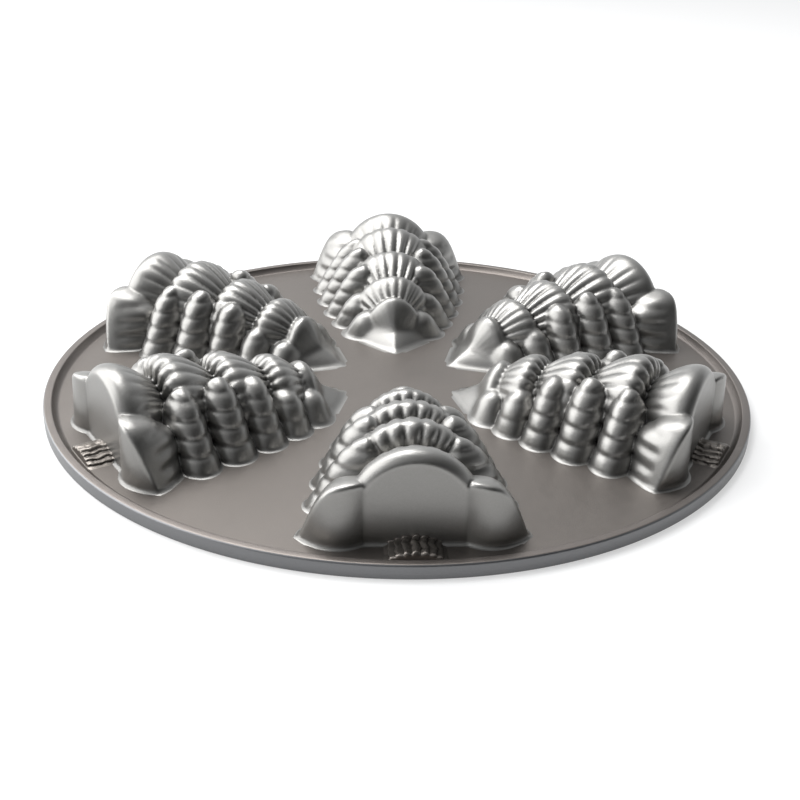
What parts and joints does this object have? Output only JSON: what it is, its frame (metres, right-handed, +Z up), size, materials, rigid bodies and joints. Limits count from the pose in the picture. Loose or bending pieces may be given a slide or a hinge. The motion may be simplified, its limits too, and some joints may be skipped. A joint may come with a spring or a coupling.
{
  "type": "cake pan",
  "caption": "Round cast-metal cake pan with hollow tree-shaped moulds whose tips point at its centre, lying upside down on its rim.",
  "frame": {"origin": "centre of the face that rests on the table when the pan lies upside down, as in the picture", "axes": "+Z up, square to the plate, the way the trees stand out; -Y towards the tree nearest the viewer"},
  "size_m": [0.32, 0.32, 0.0408],
  "materials": {
    "cast_metal": "satin cast"
  },
  "bodies": {
    "root": {"plate": "cast_metal", "rim": "cast_metal", "tree_mould_1": "cast_metal", "tree_mould_2": "cast_metal", "tree_mould_3": "cast_metal", "tree_mould_4": "cast_metal", "tree_mould_5": "cast_metal", "tree_mould_6": "cast_metal", "trunk_pocket_1": "cast_metal", "trunk_pocket_2": "cast_metal", "trunk_pocket_3": "cast_metal", "trunk_pocket_4": "cast_metal", "trunk_pocket_5": "cast_metal", "trunk_pocket_6": "cast_metal"}
  },
  "joints": []
}
